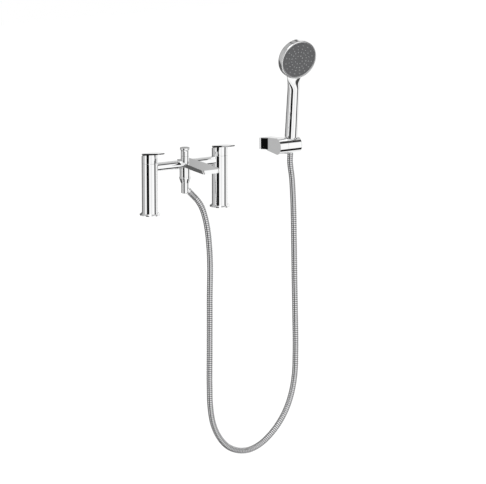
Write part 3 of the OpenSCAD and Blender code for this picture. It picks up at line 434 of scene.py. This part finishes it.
def softened(node, width, draw_in, undercut):
    """A copy of a CAD node's mesh with drawn-in sides, rounded edges and even shading."""
    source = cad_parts[node]
    mesh = source.data.copy()
    mesh.transform(source.matrix_world)
    for layer in ("custom_normal", "sharp_face", "sharp_edge"):
        if layer in mesh.attributes:
            mesh.attributes.remove(mesh.attributes[layer])
    bm = bmesh.new()
    bm.from_mesh(mesh)
    bmesh.ops.remove_doubles(bm, verts=bm.verts, dist=WELD_DISTANCE)
    bmesh.ops.dissolve_limit(bm, angle_limit=FLAT_ANGLE, verts=bm.verts, edges=bm.edges)
    draw_in(bm, undercut)
    sharp = [e for e in bm.edges if e.is_manifold and e.calc_face_angle() > EDGE_ANGLE]
    bmesh.ops.bevel(bm, geom=sharp, offset=width, offset_type="OFFSET", segments=ROUNDING_STEPS,
                    profile=0.5, affect="EDGES", clamp_overlap=True, loop_slide=True, material=-1)
    bmesh.ops.triangulate(bm, faces=[f for f in bm.faces if len(f.verts) > 4])
    bmesh.ops.recalc_face_normals(bm, faces=bm.faces)
    bm.to_mesh(mesh)
    bm.free()
    mesh.shade_smooth()
    mesh.set_sharp_from_angle(angle=SOFT_SHARP_ANGLE)
    draft = bpy.data.objects.new(node + "_draft", mesh)
    bpy.context.scene.collection.objects.link(draft)
    draft.modifiers.new("even_shading", "WEIGHTED_NORMAL").keep_sharp = True
    return baked_mesh(draft, "soft_" + node)


def baked_mesh(piece, name):
    """Evaluates a working object, returns the result as a plain mesh, and removes the object."""
    graph = bpy.context.evaluated_depsgraph_get()
    mesh = bpy.data.meshes.new_from_object(piece.evaluated_get(graph))
    mesh.name = name
    bpy.data.objects.remove(piece)
    if not mesh.polygons:
        raise RuntimeError(f"{name}: no faces were made")
    return mesh


def grown_mesh(name, points, edges, tree, values):
    """Runs a geometry-nodes tree on points and edges, with the given inputs, and bakes the result."""
    wire = bpy.data.meshes.new(name + "_guide")
    wire.from_pydata([tuple(p) for p in points], edges, [])
    guide = bpy.data.objects.new(name + "_guide", wire)
    bpy.context.scene.collection.objects.link(guide)
    modifier = guide.modifiers.new(name, "NODES")
    modifier.node_group = tree
    for item in tree.interface.items_tree:
        if item.item_type == "SOCKET" and item.in_out == "INPUT" and item.name in values:
            modifier[item.identifier] = values[item.name]
    return baked_mesh(guide, name)


def start_tree(name, inputs):
    """A geometry-nodes tree that takes and gives geometry, and its input sockets."""
    tree = bpy.data.node_groups.new(name, "GeometryNodeTree")
    tree.interface.new_socket("Geometry", in_out="INPUT", socket_type="NodeSocketGeometry")
    for label, kind in inputs.items():
        tree.interface.new_socket(label, in_out="INPUT", socket_type="NodeSocket" + kind)
    tree.interface.new_socket("Geometry", in_out="OUTPUT", socket_type="NodeSocketGeometry")
    return tree, add_node(tree, "NodeGroupInput").outputs


def end_tree(tree, geometry, material):
    """Makes the instances of a tree real, sets their material and gives them out."""
    real = add_node(tree, "GeometryNodeRealizeInstances", {"Geometry": geometry})
    painted = add_node(tree, "GeometryNodeSetMaterial", {
        "Geometry": real.outputs["Geometry"], "Material": material})
    add_node(tree, "NodeGroupOutput", {"Geometry": painted.outputs["Geometry"]})


def ribbed_hose_tree():
    """Geometry nodes: a line of edges becomes a tube whose radius swells at every rib."""
    tree, given = start_tree("ribbed_hose", {"Radius": "Float", "Rib Depth": "Float", "Ribs": "Int",
                                             "Rings": "Int", "Sides": "Int", "Sleeve": "Float",
                                             "Material": "Material"})
    curve = add_node(tree, "GeometryNodeMeshToCurve", {"Mesh": given["Geometry"]}).outputs["Curve"]
    count = maths(tree, "ADD", maths(tree, "MULTIPLY", given["Ribs"], given["Rings"]), 1.0)
    curve = add_node(tree, "GeometryNodeResampleCurve", {"Curve": curve, "Count": count}).outputs["Curve"]
    along = add_node(tree, "GeometryNodeSplineParameter").outputs
    ribs = maths(tree, "MULTIPLY", along["Factor"], given["Ribs"])
    phase = maths(tree, "FRACT", maths(tree, "ADD", ribs, RIB_SHIFT))
    fall = maths(tree, "ABSOLUTE", maths(tree, "MULTIPLY_ADD", phase, 2.0, -1.0))
    groove = maths(tree, "POWER", fall, RIB_STEEPNESS)
    ribbed = maths(tree, "GREATER_THAN", along["Length"], given["Sleeve"])
    sleeved = maths(tree, "SUBTRACT", 1.0, ribbed)
    depth = maths(tree, "MULTIPLY", maths(tree, "MULTIPLY", groove, given["Rib Depth"]), ribbed)
    sink = maths(tree, "MULTIPLY", sleeved, maths(tree, "MULTIPLY", given["Rib Depth"], SLEEVE_SINK))
    radius = maths(tree, "SUBTRACT", maths(tree, "SUBTRACT", given["Radius"], depth), sink)
    # Painted shade: how dark each groove and the smooth sleeve are painted, stored as the groove attribute
    painted_shade = maths(tree, "ADD", maths(tree, "MULTIPLY", groove, ribbed),
                   maths(tree, "MULTIPLY", sleeved, SLEEVE_PAINTED_SHADE))
    curve = add_node(tree, "GeometryNodeStoreNamedAttribute", {
        "Geometry": curve, "Name": "groove", "Value": painted_shade}, data_type="FLOAT",
        domain="POINT").outputs["Geometry"]
    circle = add_node(tree, "GeometryNodeCurvePrimitiveCircle", {"Resolution": given["Sides"], "Radius": 1.0})
    tube = add_node(tree, "GeometryNodeCurveToMesh", {
        "Curve": curve, "Profile Curve": circle.outputs["Curve"], "Scale": radius, "Fill Caps": True})
    shaded = add_node(tree, "GeometryNodeSetShadeSmooth", {"Geometry": tube.outputs["Mesh"]})
    end_tree(tree, shaded.outputs["Geometry"], given["Material"])
    return tree


def nozzle_tree():
    """Geometry nodes: one nozzle is set on every point, all facing the same way."""
    tree, given = start_tree("spray_nozzles", {"Nozzle": "Object", "Facing": "Vector",
                                               "Material": "Material"})
    shape = add_node(tree, "GeometryNodeObjectInfo", {"Object": given["Nozzle"]}).outputs["Geometry"]
    turn = add_node(tree, "FunctionNodeAlignRotationToVector", {"Vector": given["Facing"]}, axis="Z")
    placed = add_node(tree, "GeometryNodeInstanceOnPoints", {
        "Points": given["Geometry"], "Instance": shape, "Rotation": turn.outputs["Rotation"]})
    end_tree(tree, placed.outputs["Instances"], given["Material"])
    return tree


def hose_line():
    """The hose's smooth centre line, as closely spaced points from the mixer to the handset."""
    start = BRANCH_FOOT + HOSE_AT * BRANCH_DIR
    end = SEAT - CONE_FOOT * SEAT_DIR
    route = [start + HOSE_LEAD * BRANCH_DIR, *map(Vector, HOSE_POINTS), end - HOSE_LEAD * SEAT_DIR]
    chords = [(b - a).length for a, b in zip(route, route[1:])]
    slopes = [(b - a) / c for a, b, c in zip(route, route[1:], chords)]
    headings = [BRANCH_DIR]
    for i in range(1, len(chords)):
        before, after = chords[i - 1], chords[i]
        headings.append((slopes[i - 1] * after + slopes[i] * before) / (before + after))
    headings.append(SEAT_DIR)
    line = [start + HOSE_LEAD * BRANCH_DIR * k / LEAD_STEPS for k in range(LEAD_STEPS)]
    for i, h in enumerate(chords):
        for k in range(ROUTE_STEPS):
            t = k / ROUTE_STEPS
            u = 1 - t
            line.append(route[i] * (1 + 2 * t) * u * u + headings[i] * h * t * u * u
                        + route[i + 1] * t * t * (3 - 2 * t) - headings[i + 1] * h * t * t * u)
    return line + [route[-1] + HOSE_LEAD * SEAT_DIR * k / LEAD_STEPS for k in range(LEAD_STEPS + 1)]


def split_line(line, length):
    """Cuts a line at a length along it, and returns both stretches, which share the cut point."""
    run = 0.0
    for i in range(1, len(line)):
        step = (line[i] - line[i - 1]).length
        if run + step >= length:
            cut = line[i - 1].lerp(line[i], (length - run) / step)
            return line[:i] + [cut], [cut] + line[i:]
        run += step
    raise RuntimeError("the cut lies past the end of the hose")


def line_length(line):
    """The length of a line of points."""
    return sum((b - a).length for a, b in zip(line, line[1:]))


class MIXER_OT_stage(bpy.types.Operator):
    """Makes the camera, the floor, the lamp and the studio that the chrome reflects"""
    bl_idname = "mixer.stage"
    bl_label = "Camera and studio"

    def execute(self, context):
        scene = context.scene
        sizes = scene.mixer_stage
        scene.view_settings.view_transform = "Standard"
        a, e = sizes.azimuth, sizes.elevation
        back = Vector((math.sin(a) * math.cos(e), -math.cos(a) * math.cos(e), math.sin(e)))
        lens = bpy.data.cameras.new("studio_camera")
        lens.sensor_fit = "HORIZONTAL"
        lens.sensor_width = SENSOR_WIDTH
        lens.lens = SENSOR_WIDTH * sizes.distance / sizes.frame_width
        lens.clip_end = CAMERA_REACH
        camera = bpy.data.objects.new("studio_camera", lens)
        camera.location = Vector(sizes.target) + back * sizes.distance
        camera.rotation_mode = "QUATERNION"
        camera.rotation_quaternion = (-back).to_track_quat("-Z", "Y")
        scene.collection.objects.link(camera)
        scene.camera = camera

        mesh = bpy.data.meshes.new("studio_floor")
        r, z = FLOOR_REACH, sizes.floor_z
        mesh.from_pydata([(-r, -r, z), (r, -r, z), (r, r, z), (-r, r, z)], [], [(0, 1, 2, 3)])
        floor = bpy.data.objects.new("studio_floor", mesh)
        scene.collection.objects.link(floor)
        floor.visible_glossy = False
        mesh.materials.append(self.floor_paint())

        soft = bpy.data.lights.new("soft_box", "AREA")
        soft.shape = "DISK"
        soft.size = LAMP_SIZE
        soft.energy = LAMP_POWER
        lamp = bpy.data.objects.new("soft_box", soft)
        lamp.location = LAMP_PLACE
        lamp.rotation_mode = "QUATERNION"
        lamp.rotation_quaternion = (LAMP_TARGET - LAMP_PLACE).to_track_quat("-Z", "Y")
        scene.collection.objects.link(lamp)
        scene.world = self.studio_world()
        return {"FINISHED"}

    def floor_paint(self):
        """Pale floor: white to the camera, and darker only where the object shades it."""
        paint = bpy.data.materials.new("pale_floor")
        paint.use_nodes = True
        tree = paint.node_tree
        tree.nodes.clear()
        seen = add_node(tree, "ShaderNodeLightPath").outputs["Is Camera Ray"]
        matt = add_node(tree, "ShaderNodeBsdfDiffuse", {"Color": (FLOOR_GREY, FLOOR_GREY, FLOOR_GREY, 1.0)})
        glow = add_node(tree, "ShaderNodeEmission", {"Color": (1.0, 1.0, 1.0, 1.0), "Strength": FLOOR_GLOW})
        lit = add_node(tree, "ShaderNodeAddShader", {0: matt.outputs["BSDF"], 1: glow.outputs["Emission"]})
        pale = add_node(tree, "ShaderNodeBsdfDiffuse", {
            "Color": (FLOOR_BOUNCE, FLOOR_BOUNCE, FLOOR_BOUNCE, 1.0)})
        both = add_node(tree, "ShaderNodeMixShader", {
            "Fac": seen, 1: pale.outputs["BSDF"], 2: lit.outputs["Shader"]})
        add_node(tree, "ShaderNodeOutputMaterial", {"Surface": both.outputs["Shader"]})
        return paint

    def studio_world(self):
        """White to the camera and as light, and to the chrome a white room with dark screens."""
        world = bpy.data.worlds.new("studio_world")
        world.use_nodes = True
        tree = world.node_tree
        tree.nodes.clear()
        toward = add_node(tree, "ShaderNodeTexCoord").outputs["Generated"]
        axes = add_node(tree, "ShaderNodeSeparateXYZ", {"Vector": toward}).outputs
        turn = maths(tree, "ARCTAN2", axes["X"], maths(tree, "MULTIPLY", axes["Y"], -1.0))
        turn = maths(tree, "MULTIPLY_ADD", turn, 0.5 / math.pi, 0.5)
        height = maths(tree, "MULTIPLY_ADD", maths(tree, "ARCSINE", axes["Z"]), 1 / math.pi, 0.5)

        def by_turn(stops):
            return ramp(tree, turn, [(degrees / 360 + 0.5, grey) for degrees, grey in stops])

        def by_height(stops):
            return ramp(tree, height, [(degrees / 180 + 0.5, grey) for degrees, grey in stops])

        def between(limits, border):
            low, high = limits
            return (low - border, 0.0), (low + border, 1.0), (high - border, 1.0), (high + border, 0.0)

        shade = mix_colours(tree, 1.0, by_turn(SCREENS), by_height(LEVELS), "MULTIPLY")
        for grey, turns, heights in PATCHES:
            mask = mix_colours(tree, 1.0, by_turn(between(turns, TURN_BORDER)),
                               by_height(between(heights, HEIGHT_BORDER)), "MULTIPLY")
            shade = mix_colours(tree, mask, shade, (grey, grey, grey, 1.0))
        mirrored = add_node(tree, "ShaderNodeLightPath").outputs["Is Glossy Ray"]
        room = mix_colours(tree, mirrored, (1.0, 1.0, 1.0, 1.0), shade)
        sky = add_node(tree, "ShaderNodeBackground", {"Color": room, "Strength": 1.0})
        add_node(tree, "ShaderNodeOutputWorld", {"Surface": sky.outputs["Background"]})
        return world


class MIXER_OT_hose(bpy.types.Operator):
    """Makes the ribbed metal hose in three stretches; the first is attached to the mixer and bracket"""
    bl_idname = "mixer.hose"
    bl_label = "Ribbed hose"

    def execute(self, context):
        sizes = context.scene.mixer_hose
        line = hose_line()
        hanging, upper = split_line(line, line_length(line) - HOSE_UPPER_LENGTH)
        lowest = min(range(len(hanging)), key=lambda i: hanging[i].z)
        falling, rising = hanging[:lowest + 1], hanging[lowest:]
        tree = ribbed_hose_tree()
        made = []
        for name, stretch, sleeve in (("ribbed_hose", falling, sizes.sleeve),
                                      ("ribbed_hose_rising", rising, NO_SLEEVE),
                                      ("ribbed_hose_upper", upper, NO_SLEEVE)):
            edges = [(i, i + 1) for i in range(len(stretch) - 1)]
            mesh = grown_mesh(name, stretch, edges, tree, {
                "Radius": sizes.diameter / 2, "Rib Depth": sizes.rib_depth, "Sides": sizes.sides,
                "Ribs": round(line_length(stretch) / sizes.rib_pitch), "Rings": sizes.rings, "Sleeve": sleeve,
                "Material": finish("hose_metal")})
            made.append(add_piece(name, mesh, "hose_metal"))
        hose, rise, top = made
        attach(hose, "mixer_and_bracket")
        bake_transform(rise)
        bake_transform(top)
        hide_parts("hose")
        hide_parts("hose")
        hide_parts("hose_upper")
        return {"FINISHED"}


class MIXER_OT_handset(bpy.types.Operator):
    """Makes the handset's head, neck and handle as one smooth shell"""
    bl_idname = "mixer.handset"
    bl_label = "Handset shell"

    def execute(self, context):
        sizes = context.scene.mixer_handset
        edge = sizes.rim_round
        head = [(0.0, -RIM_DEPTH - DOME_HEIGHT),
                *arc((0.0, -RIM_DEPTH), (HEAD_R, DOME_HEIGHT), -88, 0, DOME_STEPS), (HEAD_R, -RIM_DEPTH / 2),
                *arc((HEAD_R - edge, -edge), (edge, edge), 0, 90, RIM_STEPS), (FACE_BORE_R, -FACE_LIP),
                (FACE_BORE_R, -CHAMBER_DEPTH), (0.0, -CHAMBER_DEPTH)]
        bodies = [turned(head, FACE_CENTRE, FACE_OUT, sizes.sides), self.handle(sizes)]
        shell = add_piece("handset_body", skin("handset_body", bodies), "plated_plastic")
        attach(shell, "handset")
        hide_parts("handset_shell")
        return {"FINISHED"}

    def handle(self, sizes):
        """Rings of the handle, which widen and fall back along the neck until they end inside the head."""
        heights = [HANDLE_FOOT + FOOT_ROUNDING * (1 - math.cos(math.radians(a))) for a in (0, 30, 60, 90)]
        heights += [HANDLE_FOOT + (NECK_START - HANDLE_FOOT) * i / HANDLE_STEPS
                    for i in range(1, HANDLE_STEPS)]
        heights += [NECK_START + (NECK_END - NECK_START) * i / NECK_STEPS for i in range(NECK_STEPS + 1)]
        taper = (HANDLE_TOP_R - HANDLE_FOOT_R) / (HANDLE_TOP - HANDLE_FOOT)
        rings = [[SEAT + SEAT_DIR * HANDLE_FOOT]]
        for h in heights:
            low = max(0.0, 1 - (h - HANDLE_FOOT) / FOOT_ROUNDING)
            r = HANDLE_FOOT_R + taper * (h - HANDLE_FOOT) - FOOT_ROUNDING * (1 - math.sqrt(1 - low * low))
            t = max(0.0, (h - NECK_START) / (NECK_END - NECK_START))
            hollow = min(1.0, max(0.0, (h - HOLLOW_START) / (HOLLOW_END - HOLLOW_START)))
            wide = r + sizes.neck_width / 2 * t ** 2
            front = r - sizes.neck_front * hollow * hollow * (3 - 2 * hollow)
            rear = r - sizes.neck_back * t ** 2
            ring = []
            for k in range(sizes.sides):
                a = 2 * math.pi * k / sizes.sides
                deep = math.sin(a) * (front if math.sin(a) > 0 else rear)
                ring.append(SEAT + SEAT_DIR * h + RIGHT * (wide * math.cos(a)) + SEAT_FRONT * deep)
            rings.append(ring)
        return rings + [[SEAT + SEAT_DIR * NECK_END]]


class MIXER_OT_nozzles(bpy.types.Operator):
    """Sets the soft nozzles in rings on the spray plate"""
    bl_idname = "mixer.nozzles"
    bl_label = "Spray nozzles"

    def execute(self, context):
        sizes = context.scene.mixer_handset
        w, h = sizes.nozzle_width / 2, sizes.nozzle_height
        profile = [(0.0, -NOZZLE_ROOT), (w, -NOZZLE_ROOT), *((w * a, h * b) for a, b in NOZZLE_OUTLINE)]
        shape = skin("nozzle", [turned(profile, Vector(), Vector((0, 0, 1)), NOZZLE_SIDES)])
        single = bpy.data.objects.new("nozzle", shape)
        context.scene.collection.objects.link(single)
        middle = FACE_CENTRE - FACE_OUT * PLATE_DEPTH
        across = RIGHT.cross(FACE_OUT)
        places = []
        for radius, count in NOZZLE_RINGS:
            for i in range(count):
                t = 2 * math.pi * (i + 0.5) / count
                places.append(middle + (RIGHT * math.cos(t) + across * math.sin(t)) * radius)
        mesh = grown_mesh("spray_nozzles", places, [], nozzle_tree(), {
            "Nozzle": single, "Facing": FACE_OUT, "Material": finish("pale_rubber")})
        piece = add_piece("spray_nozzles", mesh, "pale_rubber")
        bpy.data.objects.remove(single)
        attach(piece, "handset")
        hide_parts("nozzle_mat")
        return {"FINISHED"}


class MIXER_OT_edges(bpy.types.Operator):
    """Draws in and rounds the edges of the levers and the spout"""
    bl_idname = "mixer.edges"
    bl_label = "Soft edges"

    def execute(self, context):
        sizes = context.scene.mixer_edges
        lever = (sizes.lever, draw_in_lever, sizes.lever_undercut)
        spout = (sizes.spout, draw_in_spout, sizes.spout_undercut)
        for node, shape, body in (("hot_handle", lever, "hot_lever"), ("cold_handle", lever, "cold_lever"),
                                  ("spout", spout, "mixer_and_bracket")):
            piece = add_piece("soft_" + node, softened(node, *shape), "chrome")
            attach(piece, body)
            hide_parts(node)
        return {"FINISHED"}


class MIXER_OT_finishes(bpy.types.Operator):
    """Gives every CAD node the procedural finish of its material slot, or satin chrome"""
    bl_idname = "mixer.finishes"
    bl_label = "Finishes"

    def execute(self, context):
        for name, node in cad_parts.items():
            for slot in node.material_slots:
                own = slot.material.name.split(".")[0]
                slot.material = finish("satin_chrome" if name in SATIN_NODES else own)
        return {"FINISHED"}


class MIXER_PT_panel(bpy.types.Panel):
    """Lists the pieces of the bath shower mixer and their sizes"""
    bl_idname = "MIXER_PT_panel"
    bl_label = "Bath shower mixer"
    bl_space_type = "VIEW_3D"
    bl_region_type = "UI"
    bl_category = "Bath mixer"

    def draw(self, context):
        for operator in OPERATORS:
            self.layout.operator(operator.bl_idname, text=operator.bl_label)
        for name, group in GROUPS.items():
            box = self.layout.box()
            box.label(text=group.__doc__)
            for prop in group.__annotations__:
                box.prop(getattr(context.scene, name), prop)


GROUPS = {"mixer_hose": MixerHose, "mixer_handset": MixerHandset, "mixer_edges": MixerEdges,
          "mixer_colours": MixerColours, "mixer_stage": MixerStage}
OPERATORS = (MIXER_OT_stage, MIXER_OT_hose, MIXER_OT_handset, MIXER_OT_nozzles, MIXER_OT_edges,
             MIXER_OT_finishes)


def register():
    for made in (*GROUPS.values(), *OPERATORS, MIXER_PT_panel):
        bpy.utils.register_class(made)
    for name, group in GROUPS.items():
        setattr(bpy.types.Scene, name, PointerProperty(type=group))


def unregister():
    for name in GROUPS:
        delattr(bpy.types.Scene, name)
    for made in (MIXER_PT_panel, *reversed(OPERATORS), *reversed(GROUPS.values())):
        bpy.utils.unregister_class(made)


def main():
    register()
    bpy.ops.mixer.stage()
    bpy.ops.mixer.hose()
    bpy.ops.mixer.handset()
    bpy.ops.mixer.nozzles()
    bpy.ops.mixer.edges()
    bpy.ops.mixer.finishes()


if __name__ == "__main__":
    main()
